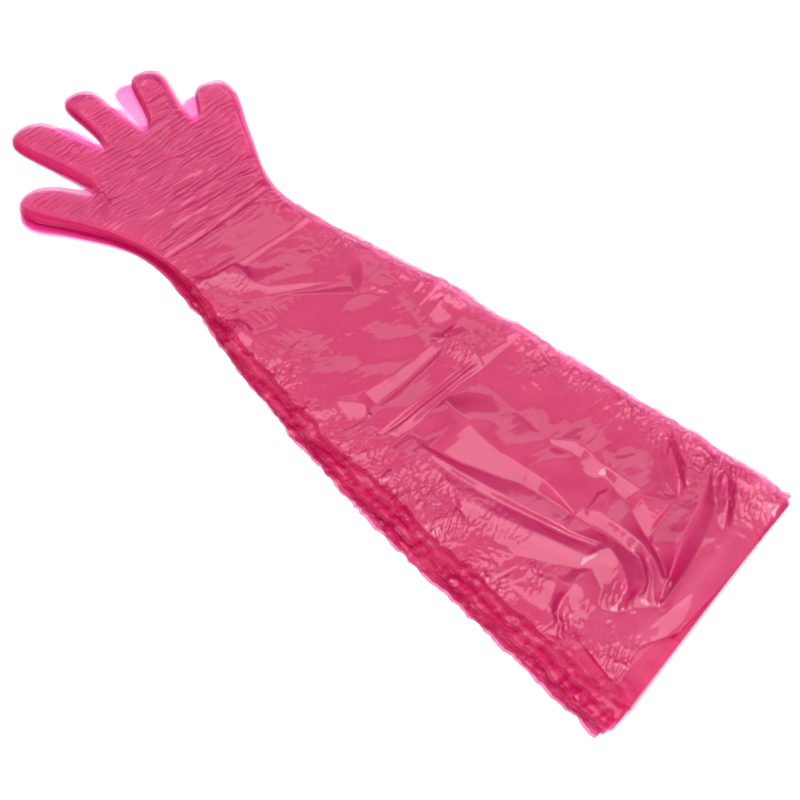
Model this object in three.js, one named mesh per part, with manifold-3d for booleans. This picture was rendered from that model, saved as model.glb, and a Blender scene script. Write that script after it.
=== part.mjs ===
// A fanned stack of shoulder-length disposable gloves, lying flat, palm down.
// Each glove is two walls of thin plastic film, heat sealed to each other round the hand and up
// both sides of the sleeve, and open at the mouth, where the arm goes in.
// Millimetres, +Z up. +Y runs from the mouth to the fingertips, and +X points to the little finger.
// The origin is in the middle of the stack's footprint, on the surface it lies on.
import * as THREE from "three";
import { mergeVertices } from "three/addons/utils/BufferGeometryUtils.js";
import Module from "manifold-3d";

const wasm = await Module();
wasm.setup();

// ---- Driving dimensions of one glove. Its own origin is the middle of the wrist. ----
const WRIST_TO_MOUTH = 605;
const MOUTH_SLANT = 42; // how much longer the sleeve is on the thumb side
const SEAL_WIDTH = 3;
const SEAL_CLEARANCE = 0.3; // between a wall's edge and the seal
const WALL = 0.5; // the film itself is a few hundredths; this is the thinnest useful solid
const INSIDE_GAP = 0.5; // between the two walls of one glove
const LAY_GAP = 0.5; // between one glove and the next
const SEAL_RECESS = 0.1; // the seal is this much thinner than the glove on each face

// The sleeve's side on +X, from the mouth up to the wrist: distance from the centre line, place.
const SLEEVE_SIDE = [
  [138, -WRIST_TO_MOUTH],
  [127, -405],
  [111, -205],
  [88, -75],
  [77, 0],
];
// From the wrist to the outer finger, on each side.
const THUMB_HEEL = [
  [-86, 52],
  [-107, 95],
];
const LITTLE_HEEL = [
  [82, 50],
  [97, 93],
];

// Each finger's tip is an arc about this centre. Lean is from +Y, in degrees, towards -X.
const FINGERS = [
  { centre: [-121, 162], radius: 25, lean: 34 }, // thumb
  { centre: [-73, 256], radius: 22.5, lean: 14 }, // index finger
  { centre: [-2, 273.5], radius: 20, lean: 0 }, // middle finger
  { centre: [73, 256], radius: 20, lean: -17 }, // ring finger
  { centre: [117, 195], radius: 22, lean: -28 }, // little finger
];
// The bottom of the gap between each finger and the next.
const WEBS = [
  [-84, 146],
  [-30, 195],
  [22, 193],
  [74, 175],
];
const FINGER_LENGTH = 95; // from the tip's centre back to where the finger turns from
const BEND_REACH = 60; // the hand bends from the sleeve over this far each side of the wrist

// The mouth of the glove on top stands open.
const MOUTH_RISE = 9;
const MOUTH_RISE_STARTS = -150;
const MOUTH_RISE_FULL = -520;
const DOME_HALF_WIDTH = { wrist: 68, mouth: 139 };

// How each glove lies, from the lowest up. Turn and bend are clockwise seen from above, in
// degrees, about the wrist. Fingers lists how far each finger leans from its usual place.
const LIES = [
  { turn: 2.3, bend: 5.1, shift: [-6, -14], fingers: [0, -1, -1, 3, 5] },
  { turn: 2.0, bend: 2.6, shift: [-4, -3], fingers: [0, -3, -3, 7, 5] },
  { turn: 1.7, bend: 2.4, shift: [-4, -12], fingers: [0, -5, -4, 0, -3] },
  { turn: 1.3, bend: 3.2, shift: [-4, -2], fingers: [0, 0, -2, 0, 0] },
  { turn: 0.9, bend: 2.9, shift: [-2, -4], fingers: [0, 0, 0, -2, 0] },
  { turn: 0.5, bend: 3.8, shift: [0, 0], fingers: [0, 0, 0, 0, 0] },
];
const COLOURS = [0xef86b4, 0xe2568f, 0xd8477f, 0xd54378, 0xd44175, 0xd64779];

const GLOVE_HEIGHT = 2 * WALL + INSIDE_GAP;

const ARC_STEPS = 6;
const WEB_STEPS = 6;
const SIDE_STEPS = 14;

// ---- The outline ----

const vector = ([x, y]) => new THREE.Vector2(x, y);
const heading = (lean) =>
  new THREE.Vector2(-Math.sin(THREE.MathUtils.degToRad(lean)), Math.cos(THREE.MathUtils.degToRad(lean)));

// A finger that leans `by` degrees more, turned about its root.
function leant(finger, by) {
  const root = vector(finger.centre).addScaledVector(heading(finger.lean), -FINGER_LENGTH);
  const lean = finger.lean + by;
  return { radius: finger.radius, lean, centre: root.addScaledVector(heading(lean), FINGER_LENGTH) };
}

// The half circle round a fingertip, from the thumb side to the little finger side.
function tipArc({ centre, radius, lean }) {
  const start = THREE.MathUtils.degToRad(lean + 180);
  return Array.from({ length: ARC_STEPS + 1 }, (_, i) => {
    const angle = start - (Math.PI * i) / ARC_STEPS;
    return new THREE.Vector2(centre.x + radius * Math.cos(angle), centre.y + radius * Math.sin(angle));
  });
}

// The gap between two fingers: down the side of one and up the side of the next.
function webCurve(from, fromLean, to, toLean, bottom) {
  const down = heading(fromLean);
  const up = heading(toLean);
  const middle = down.clone().add(up).normalize();
  const depth = from.clone().add(to).multiplyScalar(0.5).sub(bottom).dot(middle);
  const handle = ((8 / 3) * depth) / down.clone().add(up).dot(middle);
  const curve = new THREE.CubicBezierCurve(
    from,
    from.clone().addScaledVector(down, -handle),
    to.clone().addScaledVector(up, -handle),
    to,
  );
  return curve.getPoints(WEB_STEPS).slice(1, -1);
}

// One side of the sleeve and the heel of the hand, from the mouth to the outer finger.
function sideCurve(sign, heel, fingerStart) {
  const sleeve = SLEEVE_SIDE.map(([x, y]) => new THREE.Vector2(sign * x, y));
  sleeve[0].y += (sign * MOUTH_SLANT) / 2;
  const curve = new THREE.SplineCurve([...sleeve, ...heel.map(vector), fingerStart]);
  return curve.getPoints(SIDE_STEPS).slice(0, -1);
}

// The hand swings about the wrist, and the sleeve stays where it is.
function bent(point, degrees) {
  const share = THREE.MathUtils.smoothstep(point.y, -BEND_REACH, BEND_REACH);
  return point.rotateAround(new THREE.Vector2(), -THREE.MathUtils.degToRad(degrees * share));
}

// The sealed edge of a glove, from the mouth on the thumb side round to the mouth on the other.
function sealedEdge({ bend, fingers }) {
  const hand = FINGERS.map((finger, i) => leant(finger, fingers[i]));
  const tips = hand.map(tipArc);
  const line = sideCurve(-1, THUMB_HEEL, tips[0][0]);
  hand.forEach((finger, i) => {
    line.push(...tips[i]);
    if (i + 1 < hand.length)
      line.push(...webCurve(tips[i].at(-1), finger.lean, tips[i + 1][0], hand[i + 1].lean, vector(WEBS[i])));
  });
  line.push(...sideCurve(1, LITTLE_HEEL, tips.at(-1).at(-1)).reverse());
  return line.map((point) => bent(point, bend));
}

// The same line moved in by a distance. The line runs clockwise, so inside is on its right.
function movedIn(line, distance) {
  return line.map((point, i) => {
    const ahead = line[Math.min(i + 1, line.length - 1)];
    const behind = line[Math.max(i - 1, 0)];
    const along = ahead.clone().sub(behind).normalize();
    return new THREE.Vector2(point.x + along.y * distance, point.y - along.x * distance);
  });
}

// ---- Solids ----

const slab = (line, depth) => new THREE.ExtrudeGeometry(new THREE.Shape(line), { depth, bevelEnabled: false });

function solid(geometry) {
  const bare = geometry.index ? geometry.toNonIndexed() : geometry.clone();
  bare.deleteAttribute("normal");
  bare.deleteAttribute("uv");
  const merged = mergeVertices(bare, 1e-4);
  return new wasm.Manifold(
    new wasm.Mesh({
      numProp: 3,
      vertProperties: merged.attributes.position.array,
      triVerts: new Uint32Array(merged.index.array),
    }),
  );
}

function geometryOf(manifold) {
  const { vertProperties, triVerts } = manifold.getMesh();
  return new THREE.BufferGeometry()
    .setAttribute("position", new THREE.BufferAttribute(vertProperties, 3))
    .setIndex(new THREE.BufferAttribute(triVerts, 1))
    .toNonIndexed();
}

// How far the upper wall of an open glove stands up at a place on the sleeve.
function rise(x, y) {
  const towardsMouth = 1 - THREE.MathUtils.smoothstep(y, MOUTH_RISE_FULL, MOUTH_RISE_STARTS);
  const half = THREE.MathUtils.mapLinear(y, 0, -WRIST_TO_MOUTH, DOME_HALF_WIDTH.wrist, DOME_HALF_WIDTH.mouth);
  return MOUTH_RISE * towardsMouth * Math.max(0, 1 - (x / half) ** 2);
}

// A wall that follows rise(): a domed sheet, cut to the glove's outline.
function domedWall(line) {
  const size = new THREE.Box2().setFromPoints(line).getSize(new THREE.Vector2());
  const middle = new THREE.Box2().setFromPoints(line).getCenter(new THREE.Vector2());
  const sheet = new THREE.BoxGeometry(size.x + 20, size.y + 20, WALL, 16, 28, 1);
  sheet.translate(middle.x, middle.y, WALL / 2);
  const places = sheet.attributes.position;
  for (let i = 0; i < places.count; i++)
    places.setZ(i, places.getZ(i) + rise(places.getX(i), places.getY(i)));
  const cutter = slab(line, MOUTH_RISE + 3 * WALL);
  cutter.translate(0, 0, -WALL);
  return geometryOf(solid(sheet).intersect(solid(cutter)));
}

// ---- The gloves ----

function piece(name, geometry, colour, height) {
  const film = new THREE.MeshStandardMaterial({ color: colour, roughness: 0.28, metalness: 0 });
  const mesh = new THREE.Mesh(geometry, film);
  mesh.name = name;
  mesh.position.z = height;
  return mesh;
}

function glove(lie, index) {
  const edge = sealedEdge(lie);
  const wallLine = movedIn(edge, SEAL_WIDTH + SEAL_CLEARANCE);
  const band = [...edge, ...movedIn(edge, SEAL_WIDTH).reverse()];
  const isTop = index === LIES.length - 1;
  const name = `glove_${index + 1}`;

  const group = new THREE.Group();
  group.add(
    piece(`${name}_lower_wall`, slab(wallLine, WALL), COLOURS[index], 0),
    piece(
      `${name}_upper_wall`,
      isTop ? domedWall(wallLine) : slab(wallLine, WALL),
      COLOURS[index],
      WALL + INSIDE_GAP,
    ),
    piece(`${name}_edge_seal`, slab(band, GLOVE_HEIGHT - 2 * SEAL_RECESS), COLOURS[index], SEAL_RECESS),
  );
  group.rotation.z = -THREE.MathUtils.degToRad(lie.turn);
  group.position.set(...lie.shift, index * (GLOVE_HEIGHT + LAY_GAP));
  return group;
}

const stack = new THREE.Group();
LIES.forEach((lie, index) => stack.add(glove(lie, index)));

const footprint = new THREE.Box3().setFromObject(stack);
const centre = footprint.getCenter(new THREE.Vector3());
stack.position.set(-centre.x, -centre.y, -footprint.min.z);

export default stack;
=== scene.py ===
import math

import bpy
import numpy as np
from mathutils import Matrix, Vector
from mathutils.geometry import delaunay_2d_cdt


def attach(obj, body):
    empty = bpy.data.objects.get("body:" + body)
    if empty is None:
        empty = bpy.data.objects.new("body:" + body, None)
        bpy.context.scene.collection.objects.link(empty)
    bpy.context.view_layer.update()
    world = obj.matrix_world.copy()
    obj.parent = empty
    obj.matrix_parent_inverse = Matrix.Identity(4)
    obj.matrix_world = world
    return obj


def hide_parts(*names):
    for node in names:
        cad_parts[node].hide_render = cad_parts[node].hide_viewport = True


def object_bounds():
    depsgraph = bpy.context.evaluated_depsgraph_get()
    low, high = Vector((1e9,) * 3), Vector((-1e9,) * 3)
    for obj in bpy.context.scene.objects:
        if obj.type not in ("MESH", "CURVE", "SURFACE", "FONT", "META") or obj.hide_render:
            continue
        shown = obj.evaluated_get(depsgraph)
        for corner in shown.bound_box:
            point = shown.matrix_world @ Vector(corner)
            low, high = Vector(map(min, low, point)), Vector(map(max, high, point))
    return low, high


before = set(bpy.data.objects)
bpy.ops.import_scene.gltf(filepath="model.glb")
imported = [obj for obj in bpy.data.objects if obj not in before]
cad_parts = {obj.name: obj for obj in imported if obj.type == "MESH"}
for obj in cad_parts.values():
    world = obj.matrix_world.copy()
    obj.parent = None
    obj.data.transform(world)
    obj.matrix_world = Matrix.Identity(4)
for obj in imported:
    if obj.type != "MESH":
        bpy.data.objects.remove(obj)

CAD_LOW, CAD_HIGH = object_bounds()
MM = 0.001
GLOVES = 6
TOP = GLOVES

# ---- Camera ----

CAMERA_TARGET = Vector((-22.1, -90.7, 0)) * MM
CAMERA_AZIMUTH = math.radians(-44.2)
CAMERA_ELEVATION = math.radians(48)
CAMERA_DISTANCE = 1.8694
CAMERA_LENS_MM = 90


def make_camera():
    data = bpy.data.cameras.new("camera")
    data.lens = CAMERA_LENS_MM
    data.sensor_width = 36
    camera = bpy.data.objects.new("camera", data)
    bpy.context.collection.objects.link(camera)
    level = math.cos(CAMERA_ELEVATION)
    back = Vector((
        math.sin(CAMERA_AZIMUTH) * level,
        -math.cos(CAMERA_AZIMUTH) * level,
        math.sin(CAMERA_ELEVATION),
    ))
    camera.location = CAMERA_TARGET + back * CAMERA_DISTANCE
    camera.rotation_mode = "QUATERNION"
    camera.rotation_quaternion = (-back).to_track_quat("-Z", "Y")
    bpy.context.scene.camera = camera


make_camera()

# ---- The height grid: everything lies on everything below it ----

CELL = 1.25 * MM
MARGIN = 0.02
GRID_X = np.arange(CAD_LOW[0] - MARGIN, CAD_HIGH[0] + MARGIN, CELL)
GRID_Y = np.arange(CAD_LOW[1] - MARGIN, CAD_HIGH[1] + MARGIN, CELL)
X, Y = np.meshgrid(GRID_X, GRID_Y)
FREQUENCY_X = np.fft.fftfreq(len(GRID_X), CELL)[None, :]
FREQUENCY_Y = np.fft.fftfreq(len(GRID_Y), CELL)[:, None]


def sampled(field, points):
    """The field's value at each point, between its cells."""
    column = np.clip((points[:, 0] - GRID_X[0]) / CELL, 0, len(GRID_X) - 1.001)
    row = np.clip((points[:, 1] - GRID_Y[0]) / CELL, 0, len(GRID_Y) - 1.001)
    c, r = column.astype(int), row.astype(int)
    u, v = column - c, row - r
    low = field[r, c] * (1 - u) + field[r, c + 1] * u
    high = field[r + 1, c] * (1 - u) + field[r + 1, c + 1] * u
    return low * (1 - v) + high * v


def blurred(field, radius):
    """A Gaussian blur."""
    square = FREQUENCY_X**2 + FREQUENCY_Y**2
    return np.fft.ifft2(np.fft.fft2(field) * np.exp(-2 * (math.pi * radius) ** 2 * square)).real


def widened(field, radius):
    """The highest value within the radius."""
    out = field.copy()
    for step in range(max(1, round(radius / CELL))):
        up = out.copy()
        up[1:] = np.maximum(up[1:], out[:-1])
        up[:-1] = np.maximum(up[:-1], out[1:])
        across = up if step % 2 else out
        wide = up.copy()
        wide[:, 1:] = np.maximum(wide[:, 1:], across[:, :-1])
        wide[:, :-1] = np.maximum(wide[:, :-1], across[:, 1:])
        out = wide
    return out


def waves(seed, wavelength, length, angle=0.0):
    """Random waves with that spacing, whose crests run that far in the angle's direction."""
    white = np.random.default_rng(seed).standard_normal(X.shape)
    along = FREQUENCY_X * math.cos(angle) + FREQUENCY_Y * math.sin(angle)
    across = FREQUENCY_Y * math.cos(angle) - FREQUENCY_X * math.sin(angle)
    band = np.exp(-0.5 * ((np.abs(across) * wavelength - 1) / 0.35) ** 2)
    band = band * np.exp(-0.5 * (along * length) ** 2)
    out = np.fft.ifft2(np.fft.fft2(white) * band).real
    return out / out.std()


def smoothstep(low, high, value):
    t = np.clip((value - low) / (high - low), 0, 1)
    return t * t * (3 - 2 * t)


def ridged(field):
    """Sharp crests where the field passes through zero, about zero on average."""
    return np.exp(-1.6 * np.abs(field)) - 0.42


def random_line(seed, count, wavelength):
    """Smooth random values for points a millimetre apart, with that many millimetres to a wave."""
    white = np.random.default_rng(seed).standard_normal(count)
    frequency = np.fft.rfftfreq(count)
    octave = np.log2(np.maximum(frequency, 1e-9) * wavelength)
    out = np.fft.irfft(np.fft.rfft(white) * np.exp(-0.5 * (octave / 0.7) ** 2), count)
    return out / out.std()


# ---- Outlines, from the CAD walls ----

EDGE_STEP = 2.0 * MM
# How many corners a CAD wall has along each side, round each fingertip and in each web.
SIDE_CORNERS, TIP_CORNERS, WEB_CORNERS = 14, 7, 5
FADE_BEFORE, FADE_AFTER = 4, 5  # corners over which the outer fingers' moves fade out
EDGE_LENGTH = 4000  # millimetres of random values, more than the length of any edge
EDGE_WOBBLE = ((11, 0.3), (34, 0.7), (120, 1.4))  # wavelength and size, in millimetres
WAIST = 4.5  # millimetres that the little finger's side draws in, partway up the sleeve
LOOSE_GLOVES = 2  # the lowest gloves, which stand out further on the thumb's side


def boundary(node):
    """The corners of a slab's upper face, in order, as an array of (x, y)."""
    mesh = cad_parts[node].data
    height = max(v.co.z for v in mesh.vertices)
    place = [(round(v.co.x, 6), round(v.co.y, 6)) for v in mesh.vertices]
    edges = set()
    for face in mesh.polygons:
        if any(mesh.vertices[i].co.z < height - 1e-5 for i in face.vertices):
            continue
        corners = [place[i] for i in face.vertices]
        edges.update(zip(corners, corners[1:] + corners[:1]))
    following = {a: b for a, b in edges if (b, a) not in edges}
    loop = [next(iter(following))]
    while len(loop) < len(following):
        loop.append(following[loop[-1]])
    return np.array(loop)


def resampled(line, step):
    """The same line with points a step apart."""
    along = np.concatenate([[0], np.cumsum(np.linalg.norm(np.diff(line, axis=0), axis=1))])
    at = np.linspace(0, along[-1], max(2, round(along[-1] / step) + 1))
    return np.stack([np.interp(at, along, line[:, k]) for k in range(line.shape[1])], axis=1)


def smooth_curve(points, pieces=12):
    """A Catmull-Rom curve through the points."""
    ends = np.concatenate([[2 * points[0] - points[1]], points, [2 * points[-1] - points[-2]]])
    t = np.linspace(0, 1, pieces, endpoint=False)[:, None]
    out = []
    for a, b, c, d in zip(ends[:-3], ends[1:-2], ends[2:-1], ends[3:]):
        gaps = [max(np.linalg.norm(q - p), 1e-9) ** 0.5 for p, q in ((a, b), (b, c), (c, d))]
        m1 = (c - b) + gaps[1] * ((b - a) / gaps[0] - (c - a) / (gaps[0] + gaps[1]))
        m2 = (c - b) + gaps[1] * ((d - c) / gaps[2] - (d - b) / (gaps[1] + gaps[2]))
        out.append((2 * t**3 - 3 * t**2 + 1) * b + (t**3 - 2 * t**2 + t) * m1
                   + (3 * t**2 - 2 * t**3) * c + (t**3 - t**2) * m2)
    return np.concatenate(out + [points[-1:]])


def sealed_corners(number):
    """The corners of a glove's wall from the mouth on the thumb side round the hand to the mouth
    on the other side. Every glove has as many, in the same order."""
    node = f"glove_{number}_lower_wall"
    loop = boundary(node)
    lengths = np.linalg.norm(np.roll(loop, -1, axis=0) - loop, axis=1)
    mouth = int(lengths.argmax())
    line = np.roll(loop, -mouth - 1, axis=0)
    if line[0, 0] > line[-1, 0]:
        line = line[::-1]
    return line


def inside(points, polygon):
    """True for each point inside the polygon."""
    out = np.zeros(len(points), bool)
    x, y = points[:, 0], points[:, 1]
    for (ax, ay), (bx, by) in zip(polygon, np.roll(polygon, -1, axis=0)):
        if ay == by:
            continue
        crosses = (ay > y) != (by > y)
        out ^= crosses & (x < (bx - ax) * (y - ay) / (by - ay) + ax)
    return out


def covered(polygon, xs, ys):
    """True for each point of the grid of xs and ys that is inside the polygon."""
    turns = np.zeros((len(ys), len(xs) + 1), int)
    step = ys[1] - ys[0]
    for (ax, ay), (bx, by) in zip(polygon, np.roll(polygon, -1, axis=0)):
        if ay == by:
            continue
        first = math.ceil((min(ay, by) - ys[0]) / step)
        rows = np.arange(max(0, first), min(len(ys), math.ceil((max(ay, by) - ys[0]) / step)))
        crossing = ax + (bx - ax) * (ys[rows] - ay) / (by - ay)
        columns = np.clip(np.ceil((crossing - xs[0]) / (xs[1] - xs[0])).astype(int), 0, len(xs))
        turns[rows, columns] += 1
    return np.cumsum(turns, axis=1)[:, :-1] % 2 == 1


def nearest_on(line):
    """For each cell of the grid, the index of the nearest point of the line, and how far it is."""
    best = np.full(X.shape, -1)
    far = np.full(X.shape, np.inf)
    c = np.clip(np.round((line[:, 0] - GRID_X[0]) / CELL).astype(int), 0, X.shape[1] - 1)
    r = np.clip(np.round((line[:, 1] - GRID_Y[0]) / CELL).astype(int), 0, X.shape[0] - 1)
    best[r, c] = np.arange(len(line))
    far[r, c] = np.hypot(X[r, c] - line[:, 0], Y[r, c] - line[:, 1])
    for jump in (1, 64, 32, 16, 8, 4, 2, 1):
        for dr in (-jump, 0, jump):
            for dc in (-jump, 0, jump):
                to_r = slice(max(0, dr), X.shape[0] + min(0, dr))
                to_c = slice(max(0, dc), X.shape[1] + min(0, dc))
                from_r = slice(max(0, -dr), X.shape[0] + min(0, -dr))
                from_c = slice(max(0, -dc), X.shape[1] + min(0, -dc))
                other = best[from_r, from_c]
                gap = np.hypot(X[to_r, to_c] - line[other, 0], Y[to_r, to_c] - line[other, 1])
                better = (other >= 0) & (gap < far[to_r, to_c])
                best[to_r, to_c][better] = other[better]
                far[to_r, to_c][better] = gap[better]
    return best, np.minimum(far, 1.0)


def to_mouth(line, top, number):
    """The same line, run on at both ends to the stack's mouth."""
    ends_of_top = zip(top[[0, -1]], MOUTH_EXTRA)
    first, last = [corner - np.array([0, extra * MM]) for corner, extra in ends_of_top]
    across = (last - first) / np.linalg.norm(last - first)
    normal = np.array([-across[1], across[0]])
    line = line[(line - first) @ normal > 4 * MM]
    ends = []
    for end, before, short in ((line[0], line[4], MOUTH_SHORT[number - 1][0]),
                               (line[-1], line[-5], MOUTH_SHORT[number - 1][1])):
        run = (end - before) / np.linalg.norm(end - before)
        ends.append(end + run * ((end - first) @ normal / -(run @ normal) - short * MM))
    return np.concatenate([ends[:1], line, ends[1:]])


def drawn_to_top(line, top):
    """The same corners, closer to the top glove's on the hand and on the little finger's side."""
    hand = smoothstep(0.10, 0.20, line[:, 1])
    on_right = smoothstep(-0.02, 0.05, line[:, 0])
    return line + (top - line) * np.maximum(hand, on_right)[:, None] * CLOSENESS


def with_moved_fingers(line, number):
    """The same corners, with each finger moved and the moves faded out beyond the outer two."""
    knots, moves = [SIDE_CORNERS - FADE_BEFORE], [(0, 0)]
    for finger, move in enumerate(FINGER_MOVES[number - 1]):
        first = SIDE_CORNERS + finger * (TIP_CORNERS + WEB_CORNERS)
        knots += [first, first + TIP_CORNERS - 1]
        moves += [move, move]
    knots, moves = knots + [knots[-1] + FADE_AFTER], np.array(moves + [(0, 0)]) * MM
    index = np.arange(len(line))
    return line + np.stack([np.interp(index, knots, moves[:, k]) for k in (0, 1)], axis=1)


def bump_at(y, middle, reach):
    """A smooth bump along the sleeve, 1 high at its middle."""
    return np.exp(-((y - middle) / reach) ** 2)


def spread_of_sides(line, number):
    """How far each point of the edge moves outward, in millimetres."""
    left, right, corner = SPREAD[number - 1]
    y = line[:, 1]
    on_left = left * (1 - smoothstep(0.0, 0.2, y))
    on_right = right + corner * bump_at(y, -0.37, 0.07)
    on_right -= WAIST * bump_at(y, -0.03, 0.16)
    if number <= LOOSE_GLOVES:
        on_left += 5 * bump_at(y, 0.16, 0.06) + 4 * bump_at(y, -0.2, 0.12)
    return np.where(line[:, 0] < 0, on_left, on_right)


class Glove:
    """The outline of one glove, and each cell's distance from its sealed edge."""

    def __init__(self, number):
        self.number = number
        self.name = f"glove_{number}"
        top = sealed_corners(TOP)
        line = with_moved_fingers(drawn_to_top(sealed_corners(number), top), number)
        line = resampled(smooth_curve(line), EDGE_STEP)
        line = resampled(to_mouth(line, top, number), EDGE_STEP)
        tangent = np.gradient(line, axis=0)
        tangent /= np.linalg.norm(tangent, axis=1)[:, None]
        outward = np.stack([-tangent[:, 1], tangent[:, 0]], axis=1)
        self.along = np.arange(len(line)) * EDGE_STEP
        self.sleeve = 1 - smoothstep(0.08, 0.24, line[:, 1])
        wobble = sum(
            size * self.random_along(self.along / MM, number * 10 + k, wave)
            for k, (wave, size) in enumerate(EDGE_WOBBLE)
        )
        sway = np.where(line[:, 0] < 0, 1, 0.5)
        offset = wobble * (0.12 + 0.88 * self.sleeve) * sway + spread_of_sides(line, number)
        self.side = line + outward * offset[:, None] * MM
        self.outward = outward
        self.nearest, self.from_seal = nearest_on(self.side)
        self.mouth = [self.side[-1], self.side[0]]

    @staticmethod
    def random_along(at, seed, wave):
        """Smooth random values at places in millimetres along the edge."""
        return np.interp(at, np.arange(EDGE_LENGTH), random_line(seed, EDGE_LENGTH, wave))

    def puckers(self, seed):
        """Small gathers that run in from the sealed edge, in metres, on the grid."""
        s = self.along[self.nearest] / MM
        t = self.from_seal / MM
        total = np.zeros_like(X)
        for k, (wave, reach, size) in enumerate(PUCKERS):
            slants = random_line(seed + 20 + k, EDGE_LENGTH, 90)
            slant = 0.5 * slants[np.clip(s, 0, EDGE_LENGTH - 1).astype(int)]
            at = np.clip(s + slant * t, 0, EDGE_LENGTH - 2)
            total += size * np.exp(-t / reach) * ridged(self.random_along(at, seed + k, wave))
        patchy = 0.75 + 0.5 * self.random_along(s, seed + 40, 110)
        return total * np.clip(patchy, 0.15, 1.8) * (0.14 + 0.86 * self.sleeve[self.nearest]) * MM


# ---- Meshes ----


def distance_to(points, line):
    """How far each point is from a line of a few straight pieces."""
    best = np.full(len(points), np.inf)
    for a, b in zip(line[:-1], line[1:]):
        run = b - a
        t = np.clip(((points - a) @ run) / max(run @ run, 1e-12), 0, 1)
        best = np.minimum(best, np.linalg.norm(points - a - t[:, None] * run, axis=1))
    return best


def flat_sheet(polygon, spacing, from_seal, mouth):
    """The points and faces of a flat sheet: squares inside, and triangles along its edge."""
    corner, high = np.array([GRID_X[0], GRID_Y[0]]), polygon.max(axis=0)
    low = corner + np.ceil((polygon.min(axis=0) - corner) / spacing) * spacing
    xs = np.arange(low[0], high[0], spacing)
    ys = np.arange(low[1], high[1], spacing)
    gx, gy = np.meshgrid(xs, ys)
    cells = np.stack([gx.ravel(), gy.ravel()], axis=1)
    gap = np.minimum(sampled(from_seal, cells), distance_to(cells, mouth))
    kept = covered(polygon, xs, ys) & (gap > 0.8 * spacing).reshape(gx.shape)
    full = kept[:-1, :-1] & kept[1:, :-1] & kept[:-1, 1:] & kept[1:, 1:]
    number = np.full(gx.shape, -1)
    number[kept] = np.arange(kept.sum())
    points = np.stack([gx[kept], gy[kept]], axis=1)
    quads = np.stack([number[:-1, :-1], number[:-1, 1:], number[1:, 1:], number[1:, :-1]], axis=-1)[full]

    sides = np.concatenate([quads[:, [0, 1]], quads[:, [1, 2]], quads[:, [2, 3]], quads[:, [3, 0]]])
    keys, index, count = np.unique(np.sort(sides, axis=1), axis=0, return_index=True, return_counts=True)
    rim = sides[index[count == 1]]
    loose = np.setdiff1d(number[kept], quads.ravel())
    used = np.concatenate([np.unique(rim), loose])
    local = {int(v): i for i, v in enumerate(used)}
    ring = [Vector(points[v]) for v in used] + [Vector(p) for p in polygon]
    edges = [(local[int(a)], local[int(b)]) for a, b in rim]
    edges += [(len(used) + i, len(used) + (i + 1) % len(polygon)) for i in range(len(polygon))]
    verts, _, faces, origins, _, _ = delaunay_2d_cdt(ring, edges, [], 0, 1e-7, True)
    verts = np.array([tuple(v) for v in verts])
    faces = np.array([tuple(f) for f in faces if len(f) == 3])
    middle = verts[faces].mean(axis=1)
    column = np.clip(((middle[:, 0] - low[0]) / spacing).astype(int), 0, full.shape[1] - 1)
    row = np.clip(((middle[:, 1] - low[1]) / spacing).astype(int), 0, full.shape[0] - 1)
    faces = faces[inside(middle, polygon) & ~full[row, column]]

    to_final = np.empty(len(verts), int)
    extra = []
    for i, source in enumerate(origins):
        inner = [s for s in source if s < len(used)]
        if inner:
            to_final[i] = used[inner[0]]
        else:
            to_final[i] = len(points) + len(extra)
            extra.append(verts[i])
    flat = np.concatenate([points, np.array(extra)])
    triangles = to_final[faces]
    a, b, c = (flat[triangles[:, k]] for k in range(3))
    turned = np.cross(b - a, c - a)
    triangles[turned < 0] = triangles[turned < 0][:, ::-1]
    return flat, quads.tolist() + triangles.tolist()


def new_object(name, points, faces):
    mesh = bpy.data.meshes.new(name)
    mesh.from_pydata(points.tolist(), [], faces)
    mesh.validate()
    mesh.shade_smooth()
    piece = bpy.data.objects.new(name, mesh)
    bpy.context.collection.objects.link(piece)
    return piece


def band_mesh(name, rows):
    """A strip between lines that have as many points as each other."""
    count = len(rows[0])
    faces = [
        (r * count + i, r * count + i + 1, (r + 1) * count + i + 1, (r + 1) * count + i)
        for r in range(len(rows) - 1)
        for i in range(count - 1)
    ]
    return new_object(name, np.concatenate(rows), faces)


# ---- Materials ----

FILM_PASSES = (0.8, 0.66, 0.79)  # what one film lets through
FILM_SCATTERS = (0.21, 0.005, 0.054)  # what one film throws back
SCATTER_SHARE = 0.215  # the share of the light that meets pigment
DEEPER_CLEAR = (0.95, 1, 1.22)  # how strongly red, green and blue follow a film's depth
DEEPER_PIGMENT = (-0.2, 0, -0.7)  # and the same for its pigment
PALM_Y, SLEEVE_Y = 0.28, 0.16  # the deeper colour fades in between these places


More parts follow.
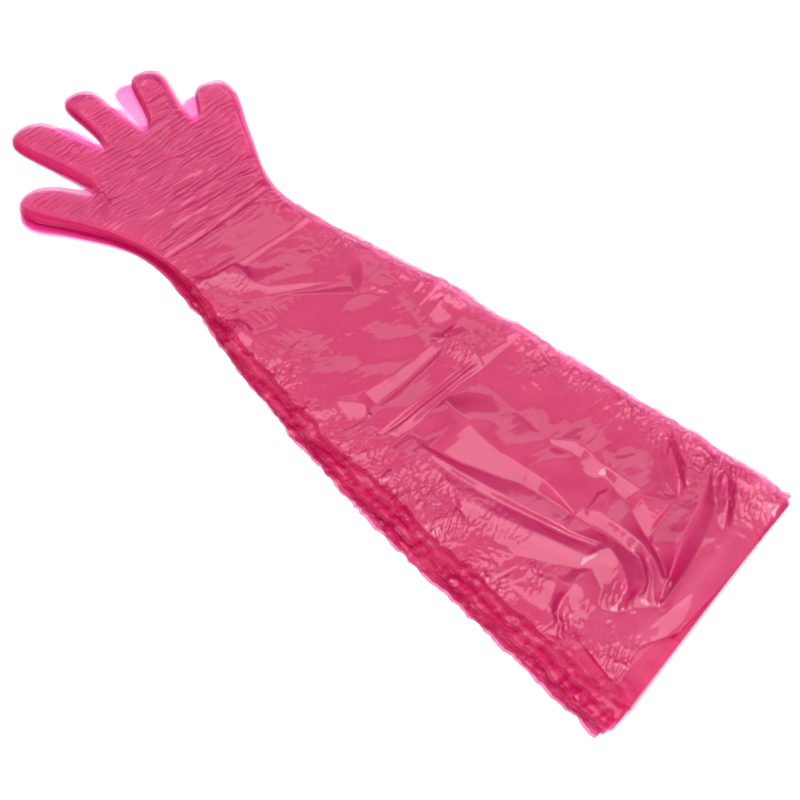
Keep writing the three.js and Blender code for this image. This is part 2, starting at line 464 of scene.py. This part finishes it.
def film_material(name, roughness=0.08, ior=1.7, deeper=1.0, hand=0.0):
    """Thin coloured film: it tints what is behind it, scatters a little, and shines.

    On the sleeve its colour is deepened: deeper is the power that its clearness is raised to, and
    hand is the share of that change which reaches the hand."""
    material = bpy.data.materials.new(name)
    material.use_nodes = True
    nodes, links = material.node_tree.nodes, material.node_tree.links
    nodes.clear()
    place = nodes.new("ShaderNodeTexCoord")

    def noise(scale, detail=3.0, stretch=(1, 1, 1)):
        mapping = nodes.new("ShaderNodeMapping")
        mapping.inputs["Scale"].default_value = stretch
        links.new(place.outputs["Object"], mapping.inputs["Vector"])
        texture = nodes.new("ShaderNodeTexNoise")
        texture.inputs["Scale"].default_value = scale
        texture.inputs["Detail"].default_value = detail
        links.new(mapping.outputs[0], texture.inputs["Vector"])
        return texture.outputs["Fac"]

    def ranged(value, low, high):
        change = nodes.new("ShaderNodeMapRange")
        change.inputs["From Min"].default_value = 0.3
        change.inputs["From Max"].default_value = 0.7
        change.inputs["To Min"].default_value = low
        change.inputs["To Max"].default_value = high
        links.new(value, change.inputs["Value"])
        return change.outputs[0]

    def blend(value, first, second):
        mix = nodes.new("ShaderNodeMix")
        mix.data_type = "RGBA"
        mix.inputs["A"].default_value = (*first, 1)
        mix.inputs["B"].default_value = (*second, 1)
        links.new(value, mix.inputs["Factor"])
        return mix.outputs["Result"]

    def deepened(colour, deep):
        """The colour, turned to the deep one towards the mouth."""
        mix = nodes.new("ShaderNodeMix")
        mix.data_type = "RGBA"
        mix.inputs["B"].default_value = (*deep, 1)
        links.new(on_sleeve.outputs[0], mix.inputs["Factor"])
        links.new(colour, mix.inputs["A"])
        return mix.outputs["Result"]

    through = [min(1, p / (1 - SCATTER_SHARE)) for p in FILM_PASSES]
    pigment = [s / SCATTER_SHARE for s in FILM_SCATTERS]
    streaks = noise(60, stretch=(1, 0.12, 1))
    clouds = noise(14)
    clear = nodes.new("ShaderNodeBsdfTransparent")
    thin = [min(1, c * k) for c, k in zip(through, (1.01, 1.05, 1.03))]
    thick = [c * k for c, k in zip(through, (0.985, 0.94, 0.965))]
    parts = nodes.new("ShaderNodeSeparateXYZ")
    links.new(place.outputs["Object"], parts.inputs[0])
    on_sleeve = nodes.new("ShaderNodeMapRange")
    on_sleeve.inputs["From Min"].default_value = PALM_Y
    on_sleeve.inputs["From Max"].default_value = SLEEVE_Y
    on_sleeve.inputs["To Min"].default_value = hand
    links.new(parts.outputs["Y"], on_sleeve.inputs["Value"])
    deep_clear = [
        min(1, p ** (deeper * k) / (1 - SCATTER_SHARE)) for p, k in zip(FILM_PASSES, DEEPER_CLEAR)
    ]
    cloudy = blend(ranged(clouds, 0, 1), thick, thin)
    links.new(deepened(cloudy, deep_clear), clear.inputs["Color"])
    body = nodes.new("ShaderNodeBsdfDiffuse")
    deep_pigment = [c * deeper**k for c, k in zip(pigment, DEEPER_PIGMENT)]
    pale = [min(1, c * 1.08) for c in pigment]
    streaky = blend(ranged(streaks, 0, 1), [c * 0.93 for c in pigment], pale)
    links.new(deepened(streaky, deep_pigment), body.inputs["Color"])
    mix = nodes.new("ShaderNodeMixShader")
    mix.inputs["Fac"].default_value = SCATTER_SHARE
    links.new(clear.outputs[0], mix.inputs[1])
    links.new(body.outputs[0], mix.inputs[2])
    gloss = nodes.new("ShaderNodeBsdfGlossy")
    gloss.inputs["Color"].default_value = (1, 1, 1, 1)
    links.new(ranged(noise(90, stretch=(1, 0.3, 1)), roughness * 0.8, roughness * 1.35),
              gloss.inputs["Roughness"])
    bump = nodes.new("ShaderNodeBump")
    bump.inputs["Strength"].default_value = 0.14
    bump.inputs["Distance"].default_value = 0.0004
    links.new(noise(160, detail=4.0, stretch=(1, 0.45, 1)), bump.inputs["Height"])
    links.new(bump.outputs[0], gloss.inputs["Normal"])
    fresnel = nodes.new("ShaderNodeFresnel")
    fresnel.inputs["IOR"].default_value = ior
    shine = nodes.new("ShaderNodeMixShader")
    links.new(fresnel.outputs[0], shine.inputs["Fac"])
    links.new(mix.outputs[0], shine.inputs[1])
    links.new(gloss.outputs[0], shine.inputs[2])
    out = nodes.new("ShaderNodeOutputMaterial")
    links.new(shine.outputs[0], out.inputs["Surface"])
    return material


def floor_material():
    material = bpy.data.materials.new("floor")
    material.use_nodes = True
    body = material.node_tree.nodes["Principled BSDF"]
    body.inputs["Base Color"].default_value = (0.95, 0.95, 0.95, 1)
    body.inputs["Roughness"].default_value = 0.9
    body.inputs["Specular IOR Level"].default_value = 0.0
    return material


FILM = {
    "top": film_material("top_film", roughness=0.05),
    "upper": film_material("upper_film", roughness=0.07, ior=1.5, deeper=1.3, hand=0.3),
    "lower": film_material("lower_film", ior=1.2, deeper=1.3, hand=0.3),
    "lowest": film_material("lowest_film", ior=1.3, deeper=2.0),
}
LOWER_FILMS = [FILM["lowest"]] + [FILM["lower"]] * 4 + [FILM["upper"]]
UPPER_FILMS = [FILM["lowest"]] + [FILM["upper"]] * 4 + [FILM["top"]]
# The seals' film is made darker than the walls' (deeper 2.1 and 2.2). This is partly the real film bunched
# at the weld, and partly painted shade standing in for the dark recesses between the stacked gloves' edges.
SEAL_WITH_PAINTED_SHADE = {
    "lowest": film_material("lowest_seal", roughness=0.12, ior=1.3, deeper=2.2),
    "upper": film_material("seal", roughness=0.12, ior=1.3, deeper=2.1, hand=0.5),
}

# ---- The top film's folds ----
# Each fold is a line of places on the top glove, in millimetres: across, from the middle of the
# mouth towards the little finger's side; along, from the mouth towards the fingertips; and how
# high the film stands there above the film under it. Between folds the film is taut.

FOLDS = {
    # the broad folds of the cuff
    "band_crest": [(-10, 298, 3), (-20, 244, 5), (-22, 217, 5.5), (-17, 166, 5), (-25, 125, 3)],
    "band_foot": [(-65, 287, 2), (-53, 237, 1), (-31, 183, 0.6), (-25, 126, 1.2), (-18, 52, 1)],
    "blade_crest": [(-67, 260, 3), (-63, 227, 3.8), (-52, 164, 4.2), (-40, 103, 4), (-32, 78, 5)],
    "blade_foot": [(-70, 253, 1.8), (-65, 200, 1.4), (-46, 121, 1.4), (-36, 87, 2.5)],
    "shoulder_crest": [(-74, 249, 2.6), (-82, 209, 3.4), (-75, 166, 4.5), (-59, 109, 5), (-54, 83, 5)],
    "shoulder_foot": [(-85, 230, 1.2), (-96, 182, 1), (-94, 130, 0.8), (-80, 107, 0.8), (-64, 81, 1.5)],
    "loop_crest": [(-77, 231, 2.4), (-83, 210, 3), (-90, 199, 3.2), (-101, 195, 2.6), (-110, 197, 2)],
    "kite_crest": [(-33, 77, 7), (-40, 57, 7.5), (-55, 36, 7), (-72, 32, 3.5)],
    "kite_foot": [(-54, 83, 3.5), (-66, 54, 0.8), (-79, 46, 0.5), (-84, 37, 0.5)],
    "kite_back": [(-30, 62, 5), (-19, 51, 1.5), (-37, 29, 1.2), (-61, 27, 1.2)],
    "hook_crest": [(-72, 77, 4), (-83, 71, 5.5), (-101, 68, 6), (-114, 63, 5), (-120, 53, 3)],
    "hook_foot": [(-101, 79, 1.5), (-113, 70, 1.5), (-123, 54, 1)],
    "sweep_crest": [(-8, 108, 4), (-8, 62, 5.5), (-13, 46, 6), (-22, 31, 6.5), (-30, 19, 6), (-45, 9, 3.5)],
    "sweep_foot": [(-18, 114, 1.4), (-17, 71, 1.2)],
    "twin_crest": [(-15, 55, 4), (-22, 41, 5), (-33, 31, 5), (-50, 20, 3)],
    "twin_foot": [(-18, 44, 4), (-27, 32, 3.5), (-40, 21, 3)],
    "tip_foot": [(-53, 18, 1.2), (-45, 7, 1.2)],
    "ribbon_crest": [(24, 200, 2.5), (39, 177, 4.5), (32, 145, 5), (36, 103, 5.5), (14, 67, 4)],
    "ribbon_foot": [(20, 192, 1.6), (28, 165, 1.6), (15, 148, 1.6), (28, 134, 2), (17, 98, 1.5),
                    (1, 60, 1.6)],
    "fin_crest": [(103, 131, 3), (87, 108, 5.5), (69, 84, 6), (57, 75, 3.5)],
    "fin_foot": [(91, 143, 2), (75, 120, 1.5), (59, 92, 1.5), (55, 76, 2)],
    "fin_back": [(108, 124, 1.5), (89, 93, 2), (69, 76, 2)],
    "rule_crest": [(13, 67, 4), (59, 75, 4), (102, 87, 3)],
    "rule_foot": [(15, 65, 2.5), (61, 72, 2.4), (103, 84, 2)],
    "pleat_crest": [(122, 74, 3), (101, 58, 5), (81, 38, 6), (61, 25, 3)],
    "pleat_foot": [(109, 77, 2.5), (87, 59, 1.6), (64, 37, 1.6), (57, 25, 1.4)],
    "pleat_back": [(120, 63, 1.5), (94, 39, 1.5), (66, 21, 1.5)],
    "brow_crest": [(103, 74, 4), (61, 52, 6), (24, 40, 7.5), (-16, 21, 7.5), (-40, 10, 6)],
    "brow_foot": [(75, 45, 1.6), (40, 29, 1.6), (2, 16, 1.4), (-41, 8, 1.2), (-87, 37, 1), (-116, 56, 1)],
    "brow_inside": [(-1, 56, 3), (-8, 39, 3), (-20, 22, 4)],
    "spur_crest": [(-15, 116, 3), (9, 122, 4), (13, 117, 3)],
    "spur_foot": [(-15, 122, 1.6), (8, 128, 1.8)],
    "nick_crest": [(-107, 110, 1.2), (-97, 108, 2), (-88, 107, 1.2)],
    "nick_foot": [(-109, 105, 0.8), (-92, 102, 0.8)],
    "dent_crest": [(-98, 105, 1.6), (-93, 91, 2.2), (-71, 79, 2.6)],
    "mouth_band": [(95, 6, 2), (-5, -4, 3.4), (-77, 1, 3)],
    "mouth_edge": [(115, 1, 0.8), (66, -9, 2.6), (-23, -19, 3.4), (-70, -15, 3)],
    # the double crease halfway up the sleeve
    "wedge_crest": [(-94, 375, 1.5), (-75, 365, 2.4), (-61, 357, 3), (-33, 355, 3), (15, 357, 2.4),
                    (52, 358, 2)],
    "two_trough": [(-107, 337, 0.6), (-74, 338, 0.4), (-27, 342, 0.4), (33, 348, 0.4)],
    "two_back": [(-108, 330, 1.4), (-74, 331, 1.4), (-26, 335, 1.4), (32, 343, 1.4)],
    "hooklet": [(-75, 358, 3.2), (-68, 345, 3), (-73, 337, 2)],
    "double_crest": [(-85, 314, 1.2), (-53, 314, 1.9), (0, 316, 1.9), (38, 317, 1.8)],
    "double_trough": [(-79, 310, 0), (-52, 309, 0), (-3, 312, 0), (40, 315, 0)],
    "strip_crest": [(-72, 306, 1), (-46, 306, 1.6), (0, 309, 1.6), (47, 310, 1.4), (106, 313, 1)],
    "strip_trough": [(-69, 296, 0), (-43, 299, 0), (15, 304, 0), (70, 305, 0), (104, 307, 0)],
    "twist_crest": [(50, 350, 2.5), (51, 336, 3), (51, 321, 3), (48, 310, 2.2)],
    "twist_foot": [(34, 348, 1), (31, 333, 1), (34, 320, 1)],
    # the sleeve
    "valley_foot": [(77, 480, 0.4), (68, 439, 0.2), (56, 392, 0), (49, 355, 0)],
    "valley_far": [(94, 487, 1.2), (88, 443, 1.8), (73, 389, 2), (68, 354, 1.5)],
    "valley_near": [(52, 430, 1), (41, 384, 1.4), (37, 355, 1.2)],
    "streak_crest": [(70, 530, 1.6), (70, 513, 3.2), (58, 484, 3.8), (44, 465, 3.2), (28, 457, 1.4)],
    "streak_foot": [(62, 527, 0.2), (49, 496, 0.2), (32, 469, 0.2)],
    # the crease below the wrist
    "pane_crest": [(-76, 574, 2), (-37, 568, 3.8), (-33, 559, 3.8), (-37, 543, 3), (-26, 523, 1.6)],
    "pane_foot": [(-77, 569, 0.2), (-64, 545, 0), (-55, 525, 0), (-31, 515, 0.3)],
    "oneb_crest": [(-74, 578, 1.4), (-26, 569, 1.7), (5, 570, 1.5), (56, 570, 1.4), (91, 567, 1.2)],
    "oneb_foot": [(-26, 562, 0.1), (4, 564, 0.3), (55, 564, 0.2), (88, 561, 0.1)],
    # the crease at the wrist
    "one_crest": [(-78, 631, 1.2), (-24, 631, 1), (31, 634, 1.1), (76, 638, 1)],
    "one_trough": [(-79, 627, -0.5), (-26, 627, -0.5), (29, 630, -0.5), (73, 634, -0.5)],
    "one_back": [(-80, 622, 0.5), (-27, 622, 0.6), (28, 625, 0.6), (72, 629, 0.4)],
    # the palm and the fingers
    "palm_first": [(-70, 690, 0.4), (-20, 679, 1.1), (30, 676, 0.9), (70, 680, 0.4)],
    "palm_first_foot": [(-68, 684, 0.1), (-20, 673, 0.1), (30, 670, 0.1), (68, 674, 0.1)],
    "palm_second": [(-45, 661, 0.5), (5, 655, 1), (60, 659, 0.7)],
    "palm_second_foot": [(-45, 655, 0), (5, 649, 0), (60, 653, 0)],
    "palm_third": [(0, 706, 0.5), (45, 700, 1), (85, 704, 0.5)],
    "palm_third_foot": [(0, 700, 0), (45, 694, 0), (85, 698, 0)],
    "middle_tip": [(-18, 880, 1.2), (0, 882, 1.8), (14, 878, 1.2)],
    "ring_tip": [(66, 861, 1.2), (84, 857, 1.8), (97, 845, 1.2)],
    "little_tip": [(117, 808, 1.2), (133, 802, 1.8), (146, 792, 1.2)],
    "palm_crest": [(-56, 740, 0.7), (-25, 734, 1), (6, 731, 0.6)],
    "palm_foot": [(-59, 733, 0.2), (-28, 727, 0.2), (3, 723, 0.2)],
    "thumb_crest": [(-60, 741, 1.5), (-68, 717, 2), (-77, 702, 1.2)],
    "thumb_foot": [(-69, 742, 0.4), (-78, 728, 0.3), (-84, 705, 0.3)],
}

FOLD_RISE = 1.4  # folds stand this much higher than they are listed
# How far the top glove's sleeve runs on past the CAD wall at the mouth, on the thumb's side and
# the other, and how far short of that line each glove's two ends stop.
MOUTH_EXTRA = (22, 14.5)
MOUTH_SHORT = ((10, 1), (8, 0), (5, 1), (2, 0), (0, 1), (0, 0))
# How far each glove's sleeve spreads past the CAD wall, in millimetres: on the thumb's side, on
# the other side, and more there near the mouth's corner.
SPREAD = ((3, -2, 2), (4, -3, 4), (5.5, -2, 1), (6, -3, 3), (4, -2, 1), (0, -2.5, 1))
# How closely the gloves' hands, and their sleeves on the little finger's side, lie on each other.
CLOSENESS = 0.96
# How far each finger lies from there, thumb first: across, and along.
FINGER_MOVES = (
    ((-5, -7), (23, -11), (14, -32), (-20, 8), (-18, 4)),
    ((-2, -2), (3, 5), (3, 5), (3, 5), (6, -4)),
    ((3, 5), (3, 5), (3, 5), (3, 5), (3, 5)),
    ((2, 4), (3, 5), (3, 4), (3, 5), (2, 4)),
    ((2, -5), (2, -6), (2, -6), (2, -6), (2, -5)),
    ((4, 6.5), (3, 5.5), (3, 5.5), (3, 5.5), (2, 5)),
)
# Puckers along the sealed edge: wavelength, how far in they reach, and height, in millimetres.
PUCKERS = ((6, 7, 1.4), (11, 13, 2.1), (25, 26, 1.7))
# The film that lies over the top of the mouth is pulled back at the thumb side's corner.
MOUTH_EDGE = [(67, -6), (6, -15), (-53, -21), (-70, -14), (-86, -8), (-101, -11), (-117, -19),
              (-131, -22), (-127, 1), (-119, 36), (-129, 38), (-131, 50)]
# Crumpled places: across, along, radius, height.
CRUMPLES = [
    (104, 235, 22, 1.6), (108, 175, 24, 1.8), (112, 115, 24, 2.0), (112, 60, 24, 2.2), (100, 25, 20, 1.6),
    (103, 290, 16, 1.2), (-100, 235, 26, 2.0), (-112, 195, 24, 2.0), (-84, 165, 26, 0.8),
    (-108, 300, 18, 1.4), (-112, 350, 16, 1.2), (44, 333, 16, 1.6), (-92, 105, 22, 1.0),
    (-112, -2, 26, 2.2), (-118, 45, 16, 1.5), (-45, 545, 12, 0.6), (-66, 35, 20, 0.8),
]

# ---- The stack ----

FILM_GAP = 0.35 * MM
GLOVE_GAPS = (0.2, 0.9, 1.2, 1.4, 4.8, 1.6)  # under each glove, in millimetres, from the lowest up
SEAL_ROWS = (-0.4, 1.0, 2.2, 3.3)  # the seal's lines, in millimetres out from the films' edge
SEAL_WIDTH = SEAL_ROWS[-1] * MM
FILM_SPACING = 2.5 * MM
TOP_SPACING = CELL
# The middle of the top glove's mouth, which folds are measured from.
FOLDS_START = sealed_corners(TOP)[[0, -1]].mean(axis=0) + np.array([6.1, 0.1]) * MM


def taut(points):
    """The height of a film that is stretched over points of (x, y, height), on the grid."""
    places = [Vector(p[:2]) for p in points]
    corners, _, faces, origins, _, _ = delaunay_2d_cdt(places, [], [], 0, 1e-6, True)
    heights = [points[source[0]][2] for source in origins]
    corners = np.array([(*corner, height) for corner, height in zip(corners, heights)])
    field = np.zeros_like(X)
    for a, b, c in corners[np.array([tuple(face) for face in faces])]:
        low, high = np.minimum(np.minimum(a, b), c), np.maximum(np.maximum(a, b), c)
        columns, rows = (
            slice(max(0, math.ceil((low[k] - start) / CELL)), int((high[k] - start) / CELL) + 1)
            for k, start in enumerate((GRID_X[0], GRID_Y[0]))
        )
        x, y = X[rows, columns] - a[0], Y[rows, columns] - a[1]
        area = (b[0] - a[0]) * (c[1] - a[1]) - (b[1] - a[1]) * (c[0] - a[0])
        if abs(area) < 1e-12:
            continue
        u = (x * (c[1] - a[1]) - y * (c[0] - a[0])) / area
        v = (y * (b[0] - a[0]) - x * (b[1] - a[1])) / area
        hit = (u >= -1e-6) & (v >= -1e-6) & (u + v <= 1 + 1e-6)
        field[rows, columns][hit] = (a[2] + u * (b[2] - a[2]) + v * (c[2] - a[2]))[hit]
    return field


def top_relief(glove):
    """How far the top film stands above the film under it."""
    lines = [np.array(fold) * [MM, MM, FOLD_RISE * MM] + [*FOLDS_START, 0] for fold in FOLDS.values()]
    rim = glove.side[::5]
    points = [resampled(line, 2.5 * MM) for line in lines]
    points.append(np.column_stack([rim, np.zeros(len(rim))]))
    field = blurred(taut(np.concatenate(points)), 0.6 * MM)
    broad = 0.55 * MM * waves(301, 110 * MM, 70 * MM, 1.2) + 0.14 * MM * waves(302, 45 * MM, 60 * MM, 0.4)
    hand = smoothstep(0.16, 0.22, Y)
    streaks = 0.8 * MM * ridged(waves(303, 15 * MM, 80 * MM, 0.05)) * hand
    streaks += 0.07 * MM * waves(304, 9 * MM, 45 * MM, -0.1) * (0.2 + 0.6 * hand)
    crumple = np.zeros_like(X)
    rough = ridged(waves(305, 12 * MM, 30 * MM, 0.45)) + 0.4 * ridged(waves(306, 9 * MM, 22 * MM, -0.5))
    for across, along, radius, height in CRUMPLES:
        x, y = X - FOLDS_START[0] - across * MM, Y - FOLDS_START[1] - along * MM
        near = np.hypot(x, y) / (radius * MM)
        crumple = np.maximum(crumple, height * MM * np.exp(-near**2))
    free = smoothstep(0, 9 * MM, glove.from_seal)
    total = field + (0.3 + 0.7 * (1 - hand)) * broad + streaks + 1.1 * crumple * rough
    return np.maximum(total + 0.5 * MM, 0) * free


def lay_sheet(glove, wall, polygon, mouth, height, spacing, material):
    """One wall of a glove, at a height given on the grid."""
    flat, faces = flat_sheet(polygon, spacing, glove.from_seal, mouth)
    points = np.column_stack([flat, sampled(height, flat)])
    piece = new_object(f"{glove.name}_{wall}_film", points, faces)
    piece.data.materials.append(material)
    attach(piece, glove.name)
    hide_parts(f"{glove.name}_{wall}_wall")


def lay_seal(glove, height):
    """The welded edge that joins the two walls. Its darker film is partly the real film bunched at the weld
    and partly painted shade of the recesses between the stacked gloves' edges.
    """
    rows = []
    for offset in SEAL_ROWS:
        line = glove.side + glove.outward * offset * MM
        rows.append(np.column_stack([line, sampled(height, line)]))
    band = band_mesh(f"{glove.name}_seal", rows)
    band.data.materials.append(SEAL_WITH_PAINTED_SHADE["upper" if glove.number > 1 else "lowest"])
    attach(band, glove.name)
    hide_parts(f"{glove.name}_edge_seal")


support = np.zeros_like(X)
gloves = [Glove(number) for number in range(1, GLOVES + 1)]

for glove in gloves:
    polygon, mouth = glove.side, glove.mouth
    near = covered(polygon, GRID_X, GRID_Y) | (glove.from_seal < 2 * SEAL_WIDTH)
    under = smoothstep(0, 2 * MM, support)
    gap = GLOVE_GAPS[glove.number - 1] * MM * (0.25 + 0.75 * under)
    draped = blurred(widened(support + gap, 4 * MM), 2.6 * MM)
    calm = blurred(draped, 16 * MM)
    inner = smoothstep(14 * MM, 34 * MM, glove.from_seal) * (1 - 0.85 * smoothstep(0.19, 0.25, Y))
    base = draped + (calm - draped) * inner + glove.puckers(100 * glove.number)
    base = np.maximum(base, 0.15 * MM)
    lay_sheet(glove, "lower", polygon, mouth, base, FILM_SPACING, LOWER_FILMS[glove.number - 1])
    if glove.number == TOP:
        upper = base + FILM_GAP + top_relief(glove)
        edge = np.array(MOUTH_EDGE) * MM + FOLDS_START
        start = int(np.argmax(glove.side[:, 1] > edge[-1, 1]))
        mouth = [glove.side[-1], *edge, glove.side[start]]
        polygon = np.concatenate([glove.side[start:], resampled(np.array(mouth), 2 * MM)[1:-1]])
        lay_sheet(glove, "upper", polygon, mouth, upper, TOP_SPACING, UPPER_FILMS[-1])
    else:
        puff = 0.15 * MM * waves(400 + glove.number, 90 * MM, 60 * MM, glove.number)
        upper = base + FILM_GAP + np.maximum(0.3 * MM + puff, 0) * smoothstep(0, 9 * MM, glove.from_seal)
        lay_sheet(glove, "upper", polygon, mouth, upper, FILM_SPACING, UPPER_FILMS[glove.number - 1])
    lay_seal(glove, base + FILM_GAP / 2)
    support = np.where(near, np.maximum(upper, support), support)

# ---- The floor and the light ----

FLOOR_SIZE = 40


def make_floor():
    mesh = bpy.data.meshes.new("floor")
    half = FLOOR_SIZE / 2
    corners = [(-half, -half, 0), (half, -half, 0), (half, half, 0), (-half, half, 0)]
    mesh.from_pydata(corners, [], [(0, 1, 2, 3)])
    mesh.materials.append(floor_material())
    floor = bpy.data.objects.new("floor", mesh)
    bpy.context.collection.objects.link(floor)


def area_light(name, azimuth, elevation, distance, size, power):
    """A soft box that points at the middle of the stack. Azimuth is as for the camera."""
    data = bpy.data.lights.new(name, "AREA")
    data.shape = "RECTANGLE"
    data.size, data.size_y = size
    data.energy = power
    lamp = bpy.data.objects.new(name, data)
    bpy.context.collection.objects.link(lamp)
    a, e = math.radians(azimuth), math.radians(elevation)
    back = Vector((math.sin(a) * math.cos(e), -math.cos(a) * math.cos(e), math.sin(e)))
    lamp.location = back * distance
    lamp.rotation_mode = "QUATERNION"
    lamp.rotation_quaternion = (-back).to_track_quat("-Z", "Y")


def make_light():
    world = bpy.data.worlds.new("world")
    bpy.context.scene.world = world
    world.use_nodes = True
    sky = world.node_tree.nodes["Background"]
    sky.inputs["Color"].default_value = (1, 1, 1, 1)
    links = world.node_tree.links
    place = world.node_tree.nodes.new("ShaderNodeTexCoord")
    parts = world.node_tree.nodes.new("ShaderNodeSeparateXYZ")
    height = world.node_tree.nodes.new("ShaderNodeMapRange")
    height.inputs["From Min"].default_value = 0.3
    height.inputs["From Max"].default_value = 1.0
    height.inputs["To Min"].default_value = 0.08
    height.inputs["To Max"].default_value = 1.2
    links.new(place.outputs["Generated"], parts.inputs[0])
    links.new(parts.outputs["Z"], height.inputs["Value"])
    links.new(height.outputs[0], sky.inputs["Strength"])
    area_light("overhead_softbox", 136, 89.9, 4.0, (4.2, 4.2), 70)
    area_light("front_softbox", -44, 60, 4.0, (3.2, 2.4), 95)
    area_light("low_softbox", 136, 38.5, 4.0, (3.2, 0.66), 4.5)


make_floor()
make_light()
scene = bpy.context.scene
scene.view_settings.view_transform = "Standard"
scene.cycles.transparent_max_bounces = 64
